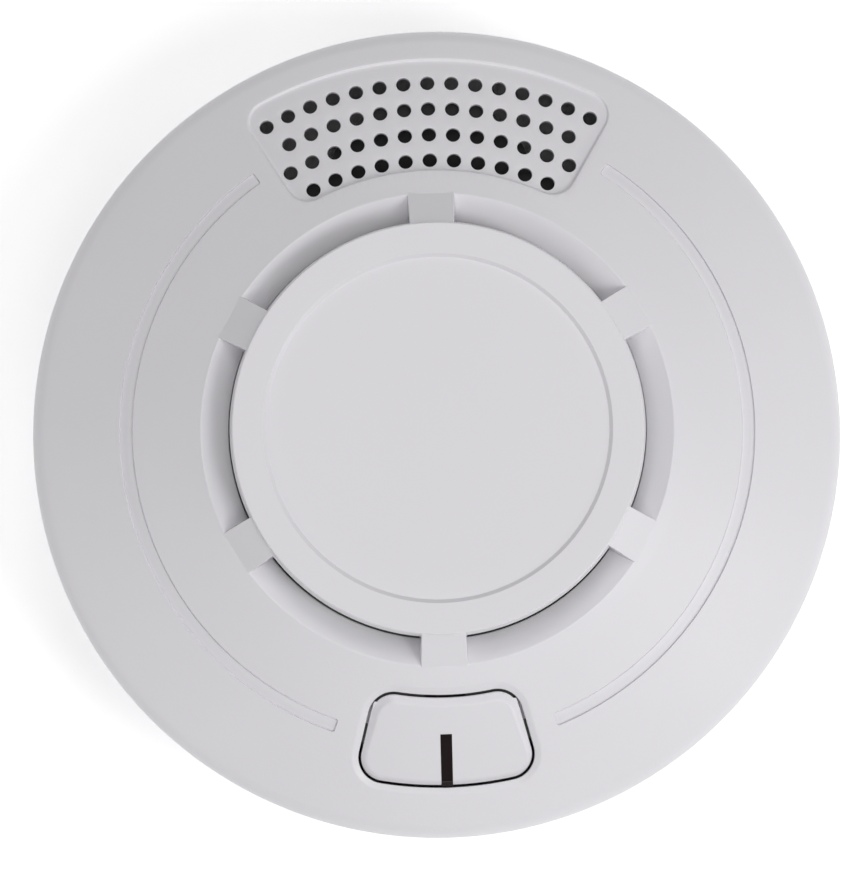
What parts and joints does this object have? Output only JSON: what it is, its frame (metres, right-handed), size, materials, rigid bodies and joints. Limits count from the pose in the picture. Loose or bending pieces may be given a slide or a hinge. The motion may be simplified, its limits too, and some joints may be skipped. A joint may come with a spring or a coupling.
{
  "type": "smoke alarm",
  "caption": "Round white ceiling smoke alarm with a raised ribbed smoke inlet, a perforated sounder grille, a push test button and a twist-off mounting bracket.",
  "frame": {"origin": "centre of the mounting bracket's back face, which lies on the ceiling", "axes": "+Z out of the ceiling through the face of the alarm, +Y towards the sounder grille, -Y towards the test button"},
  "size_m": [0.105, 0.105, 0.037],
  "materials": {
    "cover_plastic": "fine satin moulding, cool white",
    "case_plastic": "fine satin moulding, cool white",
    "dark_window": "smoked, polished",
    "chamber_plastic": "matt black",
    "screen_mesh": "woven steel, dull",
    "board_laminate": "green solder mask",
    "component_black": "moulded epoxy",
    "led_lens": "milky epoxy",
    "infrared_lens": "dark polished epoxy",
    "capacitor_sleeve": "shrunk sleeve",
    "ferrite": "sintered, dull",
    "steel": "bright zinc plate",
    "battery_jacket": "plain dark jacket",
    "terminal_metal": "nickel plate",
    "snap_plastic": "soft black",
    "red_insulation": "smooth wire cover",
    "black_insulation": "smooth wire cover",
    "sounder_plastic": "plain black moulding",
    "sounder_brass": "rolled",
    "sounder_ceramic": "silvered ceramic"
  },
  "bodies": {
    "bracket": {"mounting_bracket": "case_plastic"},
    "alarm": {"rear_case": "case_plastic", "front_cover": "cover_plastic", "case_screw_1": "steel", "case_screw_2": "steel", "case_screw_3": "steel", "test_switch_body": "component_black", "button_spring_left": "steel", "button_spring_right": "steel", "circuit_board": "board_laminate", "microcontroller": "component_black", "indicator_led": "led_lens", "electrolytic_capacitor": "capacitor_sleeve", "boost_inductor": "ferrite", "battery_body": "battery_jacket", "battery_terminal_positive": "terminal_metal", "battery_terminal_negative": "terminal_metal", "battery_snap": "snap_plastic", "battery_lead_red": "red_insulation", "battery_lead_black": "black_insulation", "sounder_housing": "sounder_plastic", "sounder_plate": "sounder_brass", "sounder_ceramic": "sounder_ceramic", "sounder_wire_red": "red_insulation", "sounder_wire_black": "black_insulation", "chamber_base": "chamber_plastic", "chamber_cover": "chamber_plastic", "insect_screen": "screen_mesh", "infrared_emitter": "infrared_lens", "light_receiver": "infrared_lens"},
    "test_button": {"test_button": "cover_plastic", "light_window": "dark_window"},
    "switch_plunger": {"test_switch_plunger": "component_black"}
  },
  "joints": [
    {"name": "alarm_twist", "type": "hinge", "parent": "bracket", "child": "alarm", "pos_m": [0, 0, 0.0031], "axis": [0, 0, 1], "range_deg": [0, 15]},
    {"name": "button_press", "type": "slide", "parent": "alarm", "child": "test_button", "axis": [0, 0, -1], "range_m": [0, 0.0008], "stiffness_N_per_m": 400, "springref_m": -0.0005, "deforming": ["button_spring_left", "button_spring_right"]},
    {"name": "switch_press", "type": "slide", "parent": "alarm", "child": "switch_plunger", "axis": [0, 0, -1], "range_m": [0, 0.00025]}
  ],
  "couplings": [
    {"joint": "switch_press", "follows": "button_press", "ratio": 0.3125}
  ]
}
